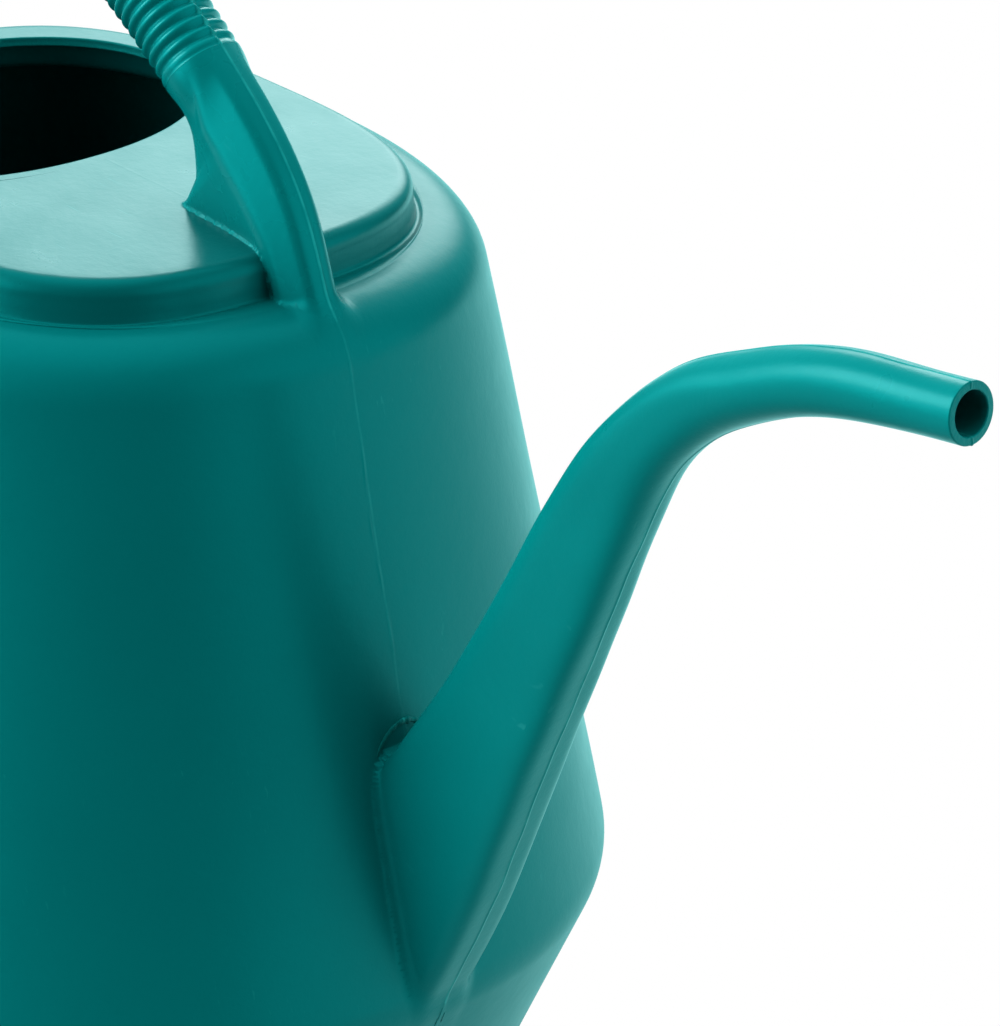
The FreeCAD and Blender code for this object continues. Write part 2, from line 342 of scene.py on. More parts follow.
def shoulderRings(inset):
    # round the shoulder, over the ledge and into the crease under the deck
    f = bodyForm
    centre, radius = f["shoulderZ"] - f["shoulderRound"], f["shoulderRound"] - inset
    rings = [bodyRing(centre + radius * math.sin(a), inset) for a in arcSteps(16)]
    crease = creaseRing(inset, 0.0)
    shares = np.linspace(0, 1, 10)[1:]
    for share, ring in zip(shares, between(rings[-1], crease, shares)):
        crown = f["ledgeCrown"] * math.sin(math.pi * share) if inset == 0 else 0
        rings.append(ring[:4] + (ring[4] + crown,))
    return rings + [creaseRing(inset, a) for a in arcSteps(5)[1:-2]]


def deckWallRings(inset):
    low = bodyForm["shoulderZ"] - inset
    rings = [creaseRing(inset, a) for a in arcSteps(5)[2:]]
    edge = deckForm["edgeRound"]
    centre = deckZ - edge
    tilt = deckForm["tilt"] if inset == 0 else 0
    for z in steps(rings[-1][4], centre, 0.7)[1:]:
        rings.append(deckRing(inset + tilt * (z - low) / (centre - low), z))
    for a in arcSteps(9)[1:]:
        inward = edge - (edge - inset) * math.cos(a)
        inward += tilt * (1 - a / (math.pi / 2))
        rings.append(deckRing(inward, centre + (edge - inset) * math.sin(a)))
    return rings


def deckTopRings(inset):
    z = deckZ - inset
    outer, inner = deckRing(deckForm["edgeRound"], z), mouthRing(mouthForm["lip"], z)
    span = (outer[0] + outer[1]) - (inner[0] + inner[1])
    toe = (outer[0] + outer[1] - deckForm["webToe"]) / span
    gaps = [0.0]
    while gaps[-1] < 1:
        close = abs(gaps[-1] - toe) * span
        gaps.append(gaps[-1] + next(gap for reach, gap in deckForm["gaps"] if close < reach) / span)
    shares = np.array(gaps) / gaps[-1]
    return between(outer, inner, shares if inset == 0 else shares[::4].tolist() + [1.0])


def lipRings():
    # over the cut edge of the mouth and back along the underside
    r, wall = mouthForm["cutRound"], bodyForm["wall"]
    rings = [mouthRing(out, deckZ) for out in (mouthForm["lip"], 2.2, 1.4, 0.8, r)]
    rings += [mouthRing(r - r * math.sin(a), deckZ - r + r * math.cos(a)) for a in arcSteps(4)[1:]]
    for share in (0.25, 0.5, 0.75):
        bow = mouthForm["cutBow"] * math.sin(share * 3.1)
        rings.append(mouthRing(bow, deckZ - r - (wall - 2 * r) * share))
    rings += [mouthRing(r - r * math.cos(a), deckZ - wall + r - r * math.sin(a)) for a in arcSteps(4)]
    rings += [mouthRing(out, deckZ - wall) for out in (1.0, 2.0, mouthForm["lip"])]
    return rings


def columnAngles():
    # closer columns near the parting plane, in front and behind
    g = columnGaps
    near = list(g["seam"]) + list(np.arange(g["seam"][-1] + g["near"], g["nearReach"], g["near"]))
    start = np.array(near) / bodyForm["bellyHalf"][1]
    last = start[-1]
    gap = start[-1] - start[-2]
    turn, out = last, []
    while turn < math.pi / 2:
        gap = min(gap * 1.12, g["side"] / bodyForm["bellyHalf"][1])
        turn += gap
        out.append(turn)
    out = np.array(out)
    out = last + (out - last) * (math.pi / 2 - last) / (out[-1] - last)
    quarter = np.concatenate([[0.0], start, out])
    half = np.concatenate([quarter, math.pi - quarter[-2::-1]])
    return np.concatenate([half, 2 * math.pi - half[-2:0:-1]])


def ringGrid(rings, angles):
    cx, a, b, power, z = (np.array(column)[:, None] for column in zip(*rings))
    cos, sin = np.cos(angles)[None], np.sin(angles)[None]
    rho = (np.abs(cos) ** power + np.abs(sin) ** power) ** (-1 / power)
    return np.stack([cx + a * rho * cos, b * rho * sin, z + 0 * cos], -1)


partingForm = dict(height=0.07, width=0.34, sway=0.6)


def addParting(points, normals):
    # the raised line where the mould halves met, wandering a little from side to side
    f = partingForm
    y, z = points[..., 1], points[..., 2]
    sway = f["sway"] * (np.sin(z / 16) + 0.5 * np.sin(z / 6.1 + 1))
    shifted = points.copy()
    shifted[..., 1] += sway * bell(y, 3.0)
    broken = 0.45 + 0.55 * np.sin(z / 2.3 + 2 * np.sin(z / 9))
    return shifted + normals * (f["height"] * broken * bell(y, f["width"]))[..., None]


angles = columnAngles()


def wallRows(low, high, inset, gap, innerGap):
    # closer rows beside the foot of the spout
    if inset:
        return steps(low, high, innerGap)
    rows = [low]
    while rows[-1] < high:
        near = bodyForm["closeRows"][0] < rows[-1] < bodyForm["closeRows"][1]
        rows.append(rows[-1] + (bodyForm["closeGap"] if near else gap))
    rows = np.array(rows)
    return low + (rows - low) * (high - low) / (rows[-1] - low)


def bodyRings(inset):
    lists = [
        baseRings(inset),
        [bodyRing(z, inset) for z in wallRows(panHigh[2], bellyLow[2], inset, 2.6, 9.0)],
        [bodyRing(z, inset) for z in steps(bellyLow[2], bellyHigh[2], 0.7 if inset == 0 else 2.2)],
        [bodyRing(z, inset) for z in wallRows(bellyHigh[2], shoulderLow[2], inset, 2.6, 12.0)],
        shoulderRings(inset),
        deckWallRings(inset),
        deckTopRings(inset),
    ]
    rings, spans = [], []
    for rows in lists:
        start = len(rings) - 1 if rings else 0
        rings += rows[1:] if rings else rows
        spans.append((start, len(rings)))
    return rings, spans


skinRings, skinSpans = bodyRings(0.0)
liningRings, liningSpans = bodyRings(bodyForm["wall"])
skin = ringGrid(skinRings, angles)
skinNormals = gridNormals(skin)
onWall = ease(*surfaceForm["wallLow"], skin[..., 2]) * (1 - ease(*surfaceForm["wallHigh"], skin[..., 2]))
skin = skin + skinNormals * (onWall * ripple(skin, **surfaceForm["wall"]))[..., None]
onDeck = ease(*surfaceForm["deckStep"], skin[..., 2] - deckZ)
skin[..., 2] += onDeck * ripple(skin, **surfaceForm["deck"])
skin = addParting(skin, skinNormals)
skinNormals = gridNormals(skin)
lining = ringGrid(liningRings, angles)
liningNormals = gridNormals(lining)
print("body rings", skin.shape, lining.shape)


# runs: the spout and the handle follow stations in the parting plane

def runColumns(count, seam, half):
    # columns round a run, with a few close ones at the parting plane on both sides
    near = np.array(seam) / half
    rest = np.linspace(near[-1], math.pi - near[-1], count)[1:-1]
    side = np.concatenate([[0.0], near, rest, math.pi - near[::-1], [math.pi]])
    return np.concatenate([side, 2 * math.pi - side[-2:0:-1]])


def placeRun(x, z, heading, across, y):
    # across is positive on the right-hand side of the run, seen with the spout on the right
    turn = np.radians(heading)[:, None]
    return np.stack([x[:, None] + across * np.sin(turn), y, z[:, None] - across * np.cos(turn)], -1)


def stationTable(stations, start):
    table = np.array(stations)
    table[:, 0] += start[0]
    table[:, 1] += start[1]
    knots = np.concatenate([[0], np.cumsum(np.hypot(np.diff(table[:, 0]), np.diff(table[:, 1])))])
    return knots, table


def stationsAt(knots, table, at):
    return [naturalSpline(knots, values, at) for values in table.T]


def raiseParting(points, at, height, width):
    normals = gridNormals(points)
    wander = 0.18 * np.sin(at / 8) + 0.1 * np.sin(at / 2.7)
    raised = points + normals * (height * bell(points[..., 1] - wander[:, None], width))[..., None]
    return raised, gridNormals(raised)


def tubeGrid(x, z, heading, depth, back, front, power, columns):
    power = np.maximum(power, 2.0)[:, None]
    cos, sin = np.cos(columns)[None], np.sin(columns)[None]
    rho = (np.abs(cos) ** power + np.abs(sin) ** power) ** (-1 / power)
    across = rho * cos
    width = back[:, None] + (front - back)[:, None] * (1 + across) / 2
    return placeRun(x, z, heading, across * depth[:, None] / 2, rho * sin * width / 2)


# spout: a tall flat-sided trunk that turns into a round neck

spoutForm = dict(
    start=(137.0, 70.0), gap=0.7, wall=1.8,
    stations=(
        (-30.0, -2.0, 65.4, 50.0, 20.0, 16.6, 6.0),
        (-4.3, 38.7, 65.4, 38.5, 20.0, 16.6, 6.0),
        (9.1, 64.5, 65.4, 31.0, 19.4, 16.2, 5.6),
        (27.9, 105.0, 66.0, 24.2, 17.8, 14.8, 4.8),
        (38.7, 130.3, 64.5, 22.0, 16.6, 14.0, 3.8),
        (54.6, 158.2, 47.0, 17.2, 15.2, 14.2, 2.7),
        (68.6, 170.8, 36.0, 15.2, 14.6, 14.0, 2.2),
        (76.1, 174.9, 27.0, 14.3, 14.3, 14.3, 2.0),
        (86.2, 179.9, 23.0, 13.8, 13.8, 13.8, 2.0),
        (106.3, 186.2, 12.5, 13.3, 13.3, 13.3, 2.0),
        (122.6, 188.9, 8.0, 12.4, 12.4, 12.4, 2.0),
        (132.5, 190.3, 8.0, 12.4, 12.4, 12.4, 2.0),
    ),
    bend=7, tip=10, seamHeight=0.17, seamWidth=0.24, cutRound=0.28,
)

spoutKnots, spoutTable = stationTable(spoutForm["stations"], spoutForm["start"])
spoutColumns = runColumns(76, (0.1, 0.22, 0.38, 0.6, 0.95, 1.4), 6.5)
bendAt, tipAt, spoutEnd = spoutKnots[spoutForm["bend"]], spoutKnots[spoutForm["tip"]], spoutKnots[-1]
cut = spoutForm["cutRound"]


def spoutGrid(at, inset):
    x, z, heading, depth, back, front, power = stationsAt(spoutKnots, spoutTable, at)
    depth, back, front = depth - 2 * inset, back - 2 * inset, front - 2 * inset
    return tubeGrid(x, z, heading, depth, back, front, power, spoutColumns)


trunkAt = steps(0, bendAt, spoutForm["gap"])
neckAt = steps(bendAt, tipAt, 1.0)
tipRows = steps(tipAt, spoutEnd - cut, 0.8)
spoutAt = np.concatenate([trunkAt, neckAt[1:], tipRows[1:], [spoutEnd - cut * 0.3, spoutEnd]])
insets = np.zeros(len(spoutAt))
insets[-2:] = cut * 0.3, cut
spout = spoutGrid(spoutAt, insets)
uneven = ripple(spout, **surfaceForm["spout"]) * ease(*surfaceForm["spoutStart"], spoutAt)[:, None]
spout = spout + gridNormals(spout) * uneven[..., None]
spout, spoutNormals = raiseParting(spout, spoutAt, spoutForm["seamHeight"], spoutForm["seamWidth"])
boreAt = np.concatenate([steps(0, spoutEnd - cut, 4.0), [spoutEnd - cut * 0.3, spoutEnd]])
boreInsets = np.full(len(boreAt), spoutForm["wall"])
boreInsets[-2:] -= cut * 0.3, cut
bore = spoutGrid(boreAt, boreInsets)
boreNormals = gridNormals(bore)
print("spout", spout.shape)


# handle: front leg with its web, ribbed grip, rear leg

handleForm = dict(
    size=18.3, gap=0.5, ribRun=3.0,
    stations=(
        (8.4, -8.5, 114.0, 14.2, 14.6),
        (3.4, 3.0, 114.0, 14.8, 15.2),
        (-2.6, 15.0, 123.0, 15.9, 16.2),
        (-14.1, 28.5, 133.0, 17.1, 17.4),
        (-32.1, 42.7, 143.0, 18.3, 18.3),
    ),
    frontRadius=180.0, rearClearance=56.5, rearTurn=22.0, gripRearAngle=40.0, rearRun=70.0, rearPower=2.4,
    ridgeOuter=(0.93, 0.47), ridgeInner=(-0.12, 0.97), webHalf=1.5,
    webEdge=((226.0, 41.0), (227.6, 43.2), (229.2, 46.2), (230.8, 48.6), (233.0, 50.0), (236.0, 50.4),
             (240.0, 50.3), (245.0, 49.9), (249.3, 48.6), (252.6, 46.2), (255.4, 42.6)),
    keelReach=40.0, keelMost=30.0, keelFoot=(0.3, 16.0), keelSmooth=7, roundRun=15.0,
    seamHeight=0.16, seamWidth=0.24,
)
handle = handleForm
deckFront = deckX + deckHalf[0]
shoulderZ = bodyForm["shoulderZ"]
legKnots, legTable = stationTable(handle["stations"], (deckFront, shoulderZ))
gripStart = math.radians(handle["stations"][-1][2] - 90)
frontX = legTable[-1][0] - handle["frontRadius"] * math.cos(gripStart)
frontZ = legTable[-1][1] - handle["frontRadius"] * math.sin(gripStart)
rearRadius = frontX + bodyForm["shoulderHalf"][0] + handle["rearClearance"]
rearZ = frontZ + handle["frontRadius"] - rearRadius


def roundedOutline(corners, cuts, straight, bend):
    # corners: rows x corners x 2, rounded by cutting each one back by its own distance
    pieces = [corners[:, :1]]
    last = corners[:, 0]
    for i in range(1, corners.shape[1] - 1):
        tip, after = corners[:, i], corners[:, i + 1]
        to, on = tip - last, after - tip
        before = tip - to * (cuts[i] / np.linalg.norm(to, axis=1, keepdims=True))
        beyond = tip + on * (cuts[i] / np.linalg.norm(on, axis=1, keepdims=True))
        for t in np.linspace(0, 1, straight[i - 1] + 1)[1:]:
            pieces.append((last + (before - last) * t)[:, None])
        for t in np.linspace(0, 1, bend + 1)[1:]:
            pieces.append(((1 - t) ** 2 * before + 2 * t * (1 - t) * tip + t * t * beyond)[:, None])
        last = beyond
    for t in np.linspace(0, 1, straight[-1] + 1)[1:]:
        pieces.append((last + (corners[:, -1] - last) * t)[:, None])
    return np.concatenate(pieces, 1)


def legGrid():
    at = steps(0, legKnots[-1] - handle["ribRun"], handle["gap"])
    x, z, heading, depth, width = stationsAt(legKnots, legTable, at)
    turn = np.radians(heading)
    edgeZ, edgeX = np.array(handle["webEdge"]).T
    reach = np.linspace(0, handle["keelReach"], 801)
    behindX = x[:, None] - reach * np.sin(turn)[:, None]
    behindZ = z[:, None] + reach * np.cos(turn)[:, None]
    out = (behindX < np.interp(behindZ, edgeZ, edgeX)) | (behindZ < deckZ - 3)
    keel = reach[np.argmax(out, axis=1)]
    keel = np.clip(keel, depth / 2, handle["keelMost"])
    footShare, footMost = handle["keelFoot"]
    foot = slice(int(footShare * len(keel)))
    keel[foot] = np.minimum(keel[foot], footMost)
    count = handle["keelSmooth"]
    smooth = np.convolve(np.pad(keel, count // 2, mode="edge"), np.ones(count) / count, mode="valid")
    keel = np.where(at < at[-1] - handle["ribRun"], smooth, keel)
    h, w = depth / 2, width / 2
    outer, inner = handle["ridgeOuter"], handle["ridgeInner"]
    corners = np.stack([
        np.stack([h, 0 * w], -1),
        np.stack([h * outer[0], w * outer[1]], -1),
        np.stack([h * inner[0], w * inner[1]], -1),
        np.stack([-keel * 0.72 - 1, 0.3 * w + 1.2], -1),
        np.stack([-keel + 0.5, 0 * w + handle["webHalf"]], -1),
        np.stack([-keel, 0 * w], -1),
    ], 1)
    half = roundedOutline(corners, (0, 1.8, 2.4, 2.5, 0.5, 0), (4, 6, 18, 10, 2), 6)
    circle = np.linspace(0, math.pi, half.shape[1])
    tube = np.stack([h[:, None] * np.cos(circle), w[:, None] * np.sin(circle)], -1)
    share = ease(at[-1] - handle["roundRun"], at[-1], at)[:, None, None]
    half = half * (1 - share) + tube * share
    across = np.concatenate([half[..., 0], half[:, -2:0:-1, 0]], 1)
    y = np.concatenate([half[..., 1], -half[:, -2:0:-1, 1]], 1)
    return at, placeRun(x, z, heading, across, y)


legAt, leg = legGrid()
leg, legNormals = raiseParting(leg, legAt, handle["seamHeight"], handle["seamWidth"])

gripColumns = runColumns(34, (0.12, 0.26, 0.42, 0.65, 1.0), 8.75)


def arcRun(z, radius, start, end, gap):
    turn = np.linspace(start, end, int(abs(end - start) * radius / gap) + 1)
    return frontX + radius * np.cos(turn), z + radius * np.sin(turn), np.degrees(turn) + 90


def gripGrid():
    low = gripStart - handle["ribRun"] / handle["frontRadius"]
    front = arcRun(frontZ, handle["frontRadius"], low, math.pi / 2, 0.38)
    rear = arcRun(rearZ, rearRadius, math.pi / 2, math.pi / 2 + math.radians(handle["gripRearAngle"]), 0.38)
    x, z, heading = (np.concatenate([a, b[1:]]) for a, b in zip(front, rear))
    size = np.full(len(x), handle["size"])
    at = np.concatenate([[0], np.cumsum(np.hypot(np.diff(x), np.diff(z)))])
    return at, tubeGrid(x, z, heading, size, size, size, size * 0 + 2, gripColumns)


def rearGrid():
    start = math.pi / 2 + math.radians(handle["gripRearAngle"])
    end = math.pi + math.radians(handle["rearTurn"])
    x, z, heading = arcRun(rearZ, rearRadius, start, end, 1.1)
    run = steps(0, handle["rearRun"], 1.0)[1:]
    x = np.concatenate([x, x[-1] - run * math.sin(end)])
    z = np.concatenate([z, z[-1] + run * math.cos(end)])
    heading = np.concatenate([heading, np.full(len(run), heading[-1])])
    size = np.full(len(x), handle["size"])
    at = np.concatenate([[0], np.cumsum(np.hypot(np.diff(x), np.diff(z)))])
    power = 2 + (handle["rearPower"] - 2) * ease(0, 25, at)
    return at, tubeGrid(x, z, heading, size, size, size, power, gripColumns)


gripAt, grip = gripGrid()
rearAt, rear = rearGrid()
rear, rearNormals = raiseParting(rear, rearAt, handle["seamHeight"], handle["seamWidth"])
print("handle", leg.shape, grip.shape, rear.shape)


# the rounded corners where the runs meet the body

meetForm = dict(
    spoutTop=2.2, spoutFoot=3.0, leg=0.9, legFoot=5.0, rear=5.0,
    spoutSpan=(80, 135), legSpan=(85, 94), tuck=0.14, keepIn=1.3, halvings=8,
)


def spoutReach(point):
    f = meetForm
    return f["spoutFoot"] + (f["spoutTop"] - f["spoutFoot"]) * float(ease(*f["spoutSpan"], point[2]))


def legReach(point):
    f = meetForm
    return f["leg"] + (f["legFoot"] - f["leg"]) * float(ease(*f["legSpan"], point[0]))


def rearReach(point):
    return meetForm["rear"]


meetings = dict(  # how far the corner reaches, then the boxes to search on the run and on the body
    spout=(spoutReach, ((60, -32, 30), (170, 32, 180)), ((95, -32, 45), (160, 32, 160))),
    leg=(legReach, ((30, -20, 180), (110, 20, 240)), ((36, -18, 200), (108, 18, 236))),
    rear=(rearReach, ((-160, -32, 100), (-60, 32, 215)), ((-150, -30, 110), (-90, 30, 200))),
)
bodyTree = solidTree(skin)
runTrees = dict(spout=solidTree(spout), leg=solidTree(leg), rear=solidTree(rear))


def meetBody(name, points, normals):
    reach, runBox, _ = meetings[name]
    return meet(points, normals, bodyTree, reach, *runBox, keepIn=meetForm["keepIn"])


spout, spoutNormals = meetBody("spout", spout, spoutNormals)
leg, legNormals = meetBody("leg", leg, legNormals)
rear, rearNormals = meetBody("rear", rear, rearNormals)
for name, (reach, _, bodyBox) in meetings.items():
    skin, skinNormals = meet(skin, skinNormals, runTrees[name], reach, *bodyBox, keepIn=0)
print("corners rounded")


# materials: one moulded-plastic effect, set for each finish, with lighter copies of the teal as painted
# light on the runs and a darker copy as painted shade on the deck

def addNode(tree, kind, inputs, **settings):
    # an input takes a value or another node's output
    made = tree.nodes.new(kind)
    for key, value in settings.items():
        setattr(made, key, value)
    for socket, value in inputs.items():
        if isinstance(value, bpy.types.NodeSocket):
            tree.links.new(value, made.inputs[socket])
        elif value is not None:
            made.inputs[socket].default_value = value
    return made


def mathNode(tree, operation, a, b=None, clamp=False):
    return addNode(tree, "ShaderNodeMath", {0: a, 1: b}, operation=operation, use_clamp=clamp).outputs[0]


def noiseNode(tree, vector, scale, detail=3.0, rough=0.5, distortion=0.0):
    inputs = dict(Vector=vector, Scale=scale, Detail=detail, Roughness=rough, Distortion=distortion)
    return addNode(tree, "ShaderNodeTexNoise", inputs).outputs["Fac"]


def rangeNode(tree, value, low, high, toLow=0.0, toHigh=1.0):
    inputs = {"Value": value, "From Min": low, "From Max": high, "To Min": toLow, "To Max": toHigh}
    return addNode(tree, "ShaderNodeMapRange", inputs, interpolation_type="SMOOTHSTEP").outputs["Result"]


def mixColour(tree, share, a, b):
    return addNode(tree, "ShaderNodeMix", {0: share, 6: a, 7: b}, data_type="RGBA").outputs[2]


plasticForm = dict(
    cloudScale=14.0, speckScale=900.0, speckShare=0.35,
    scratchTurn=(0.3, 0.5, 0.9), scratchScale=(60, 900, 220), scratchEdge=(0.66, 0.74),
    patchScale=26.0, patchEdge=(0.5, 0.68),
    partingEdge=(0.00045, 0.0001), brokenScale=180.0, brokenEdge=(0.3, 0.6, 0.35, 1.0),
    smearScale=60.0, smearShare=0.14, wornRoughness=0.25,
    fineScale=1700.0, fineShare=0.25, scuffDepth=0.8, bumpDistance=0.0004,
)
plasticSockets = dict(
    NodeSocketVector=("coordinates", "away"), NodeSocketColor=("colour", "wallColour", "pale"),
    NodeSocketFloat=("awayStart", "awayEnd", "tone", "scuffs", "parting", "gloss", "peelSize", "peelHeight"),
)


def mouldedPlasticGroup():
    f = plasticForm
    tree = bpy.data.node_groups.new("mouldedPlastic", "ShaderNodeTree")
    face = tree.interface
    for kind, names in plasticSockets.items():
        for name in names:
            face.new_socket(name, in_out="INPUT", socket_type=kind)
    for name, kind in (("colour", "Color"), ("roughness", "Float"), ("normal", "Vector")):
        face.new_socket(name, in_out="OUTPUT", socket_type="NodeSocket" + kind)
    given = tree.nodes.new("NodeGroupInput").outputs
    result = tree.nodes.new("NodeGroupOutput").inputs
    where = given["coordinates"]

    noise, spread, do = partial(noiseNode, tree), partial(rangeNode, tree), partial(mathNode, tree)

    def centred(value):
        return do("SUBTRACT", value, 0.5)

    # slow tone changes of the wall, and fine specks of the pigment
    cloud = noise(where, f["cloudScale"], 4.0, 0.55, 0.4)
    speck = noise(where, f["speckScale"], 2.0)
    shade = do("ADD", centred(cloud), do("MULTIPLY", centred(speck), f["speckShare"]))
    value = do("ADD", 1.0, do("MULTIPLY", shade, given["tone"]))

    # painted light: a run fades from the wall's colour into a lighter copy of the teal as it stands away
    # from the wall
    away = addNode(tree, "ShaderNodeVectorMath", {0: where, 1: given["away"]}, operation="DOT_PRODUCT")
    paintedLightShare = spread(away.outputs["Value"], given["awayStart"], given["awayEnd"])
    paintedLightColour = mixColour(tree, paintedLightShare, given["wallColour"], given["colour"])
    tinted = addNode(tree, "ShaderNodeVectorMath", {0: paintedLightColour, "Scale": value}, operation="SCALE")

    # scuffs: short pale scratches that lie in patches
    stretch = addNode(tree, "ShaderNodeMapping",
                      dict(Vector=where, Rotation=f["scratchTurn"], Scale=f["scratchScale"]))
    scratch = spread(noise(stretch.outputs[0], 1.0, 2.0, 0.6, 0.3), *f["scratchEdge"])
    patch = spread(noise(where, f["patchScale"], 3.0), *f["patchEdge"])
    scuff = do("MULTIPLY", do("MULTIPLY", scratch, patch), given["scuffs"])

    # paler plastic along the parting line
    split = addNode(tree, "ShaderNodeSeparateXYZ", {0: where})
    line = spread(do("ABSOLUTE", split.outputs["Y"]), *f["partingEdge"])
    broken = spread(noise(where, f["brokenScale"], 3.0, 0.6), *f["brokenEdge"])
    line = do("MULTIPLY", do("MULTIPLY", line, broken), given["parting"])
    worn = do("MAXIMUM", scuff, line, clamp=True)
    tree.links.new(mixColour(tree, worn, tinted.outputs[0], given["pale"]), result["colour"])

    smear = noise(where, f["smearScale"], 4.0, 0.6)
    rough = do("ADD", given["gloss"], do("MULTIPLY", centred(smear), f["smearShare"]))
    rough = do("ADD", rough, do("MULTIPLY", worn, f["wornRoughness"]))
    tree.links.new(rough, result["roughness"])

    peel = noise(where, given["peelSize"], 3.0, 0.5)
    fine = do("MULTIPLY", noise(where, f["fineScale"], 1.0), f["fineShare"])
    heights = do("ADD", do("ADD", peel, fine), do("MULTIPLY", scuff, -f["scuffDepth"]))
    bump = addNode(tree, "ShaderNodeBump",
                   dict(Distance=f["bumpDistance"], Strength=given["peelHeight"], Height=heights))
    tree.links.new(bump.outputs[0], result["normal"])
    return tree


plasticGroup = mouldedPlasticGroup()
# the run teal is the wall teal made lighter: painted light on the spout and handle
wallTeal, tubeTealPaintedLight, paleTeal = (0.0, 0.125, 0.125, 1), (0.0, 0.14, 0.138, 1), (0.22, 0.5, 0.47, 1)
lookKeys = ("colour", "tone", "scuffs", "parting", "gloss", "peelSize", "peelHeight", "shine")
finishesAndPaintedLight = dict(
    shell=(wallTeal, 0.16, 0.08, 0.1, 0.33, 260, 0.16, 0.3),
    # painted shade: the deck's teal is a darker copy of the wall's
    deck=((0.0, 0.09, 0.09, 1), 0.16, 0.15, 0.0, 0.3, 420, 0.12, 0.4),
    # painted light: the handle, grip and spout colours are lighter copies of the wall teal
    handle=(tubeTealPaintedLight, 0.14, 0.1, 0.3, 0.27, 520, 0.1, 0.4),
    grip=((0.0, 0.15, 0.148, 1), 0.14, 0.1, 0.5, 0.26, 620, 0.1, 0.4),
    spout=(tubeTealPaintedLight, 0.16, 0.2, 0.25, 0.3, 420, 0.14, 0.35),
    cut_edge=((0.005, 0.13, 0.126, 1), 0.2, 0.4, 0.0, 0.45, 1400, 0.3, 0.4),
    weld=((0.01, 0.12, 0.115, 1), 0.6, 1.0, 0.5, 0.5, 1300, 0.6, 0.4),
)
paintedLightFades = dict(  # the way that a run leaves the wall, and where its painted lighter colour starts and is full
    handle=((0, 0, 1), 0.216, 0.238), spout=((0.95, 0, 0.24), 0.145, 0.185),
)
noBlend = ((0, 0, 0), -1.0, -0.9)
specularTint = (0.15, 1, 1, 1)


def makeFinishOrPaintedLight(name):
    look = dict(zip(lookKeys, finishesAndPaintedLight[name]), pale=paleTeal, wallColour=wallTeal)
    look.update(zip(("away", "awayStart", "awayEnd"), paintedLightFades.get(name, noBlend)))
    material = bpy.data.materials.new(name + "Plastic")
    material.use_nodes = True
    tree = material.node_tree
    shader = tree.nodes["Principled BSDF"]
    shader.inputs["IOR"].default_value = 1.5
    shader.inputs["Specular IOR Level"].default_value = look.pop("shine")
    shader.inputs["Specular Tint"].default_value = specularTint
    look["coordinates"] = tree.nodes.new("ShaderNodeTexCoord").outputs["Object"]
    plastic = addNode(tree, "ShaderNodeGroup", look, node_tree=plasticGroup)
    for a, b in (("colour", "Base Color"), ("roughness", "Roughness"), ("normal", "Normal")):
        tree.links.new(plastic.outputs[a], shader.inputs[b])
    return material


materials = {name: makeFinishOrPaintedLight(name) for name in finishesAndPaintedLight}
print("materials ready")


# pieces

def finishPiece(obj, slot, *nodes):
    if not obj.data.materials:
        obj.data.materials.append(materials[slot])
    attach(obj, "root")
    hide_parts(*nodes)
    return obj


zoneNames = dict(  # from the underside up, in the order of the rings
    base_pan="standingBase", lower_wall="lowerWall", belly_band="bellyBand", upper_wall="upperWall",
    shoulder_ring="shoulderRing", deck_wall="deckWall", deck_top="deckTop",
)
for index, (zone, name) in enumerate(zoneNames.items()):
    outer = slice(*skinSpans[index])
    inner = slice(*liningSpans[index])
    strips = [(skin[outer], skinNormals[outer], False), (lining[inner], liningNormals[inner], True)]
    links = [((0, -1), (1, -1), False)]
    poles = []
    if index:
        links.append(((0, 0), (1, 0), True))
    else:
        poles = [((0, 0), skin[0].mean(0), True), ((1, 0), lining[0].mean(0), False)]
    slotName = "deck" if zone.startswith("deck") else "shell"
    finishPiece(assemble(name, strips, links, poles), slotName, zone)


def paintRows(obj, cols, rows, other):
    # the rows of a piece that keep the smooth moulded skin
    obj.data.materials.append(materials["cut_edge"])
    obj.data.materials.append(materials[other])
    index = [0] * len(obj.data.polygons)
    for start, end in rows:
        index[start * cols:end * cols] = [1] * ((end - start) * cols)
    obj.data.polygons.foreach_set("material_index", index)
    return obj


lip = ringGrid(lipRings(), angles)
mouthLip = assemble("mouthLip", [(lip, gridNormals(lip), False)], [((0, -1), (0, 0), False)])
paintRows(mouthLip, len(angles), [(0, 4), (len(lip) - 4, len(lip) - 1)], "deck")
finishPiece(mouthLip, "cut_edge", "mouth_lip")


def runPiece(name, outer, outerNormals, inner=None, innerNormals=None):
    strips, links, poles = [(outer, outerNormals, False)], [], []
    if inner is None:
        poles = [((0, 0), outer[0].mean(0), True), ((0, -1), outer[-1].mean(0), False)]
    else:
        strips.append((inner, innerNormals, True))
        links = [((0, -1), (1, -1), False), ((0, 0), (1, 0), True)]
    return assemble(name, strips, links, poles)


bendRow, tipRow = len(trunkAt) - 1, len(trunkAt) + len(neckAt) - 2
boreBend = int(np.argmin(abs(boreAt - bendAt)))
boreTip = int(np.argmin(abs(boreAt - tipAt)))
finishPiece(runPiece("spoutTrunk", spout[:bendRow + 1], spoutNormals[:bendRow + 1]), "spout", "spout_trunk")
finishPiece(runPiece("spoutNeck", spout[bendRow:tipRow + 1], spoutNormals[bendRow:tipRow + 1],
                     bore[boreBend:boreTip + 1], boreNormals[boreBend:boreTip + 1]), "spout", "spout_neck")
spoutTip = runPiece("spoutTip", spout[tipRow:], spoutNormals[tipRow:], bore[boreTip:], boreNormals[boreTip:])
outerRows, boreRows = len(spout) - tipRow - 1, len(bore) - boreTip - 1
paintRows(spoutTip, len(spoutColumns), [(0, outerRows - 2), (outerRows, outerRows + boreRows - 1)], "spout")
finishPiece(spoutTip, "cut_edge", "spout_tip")
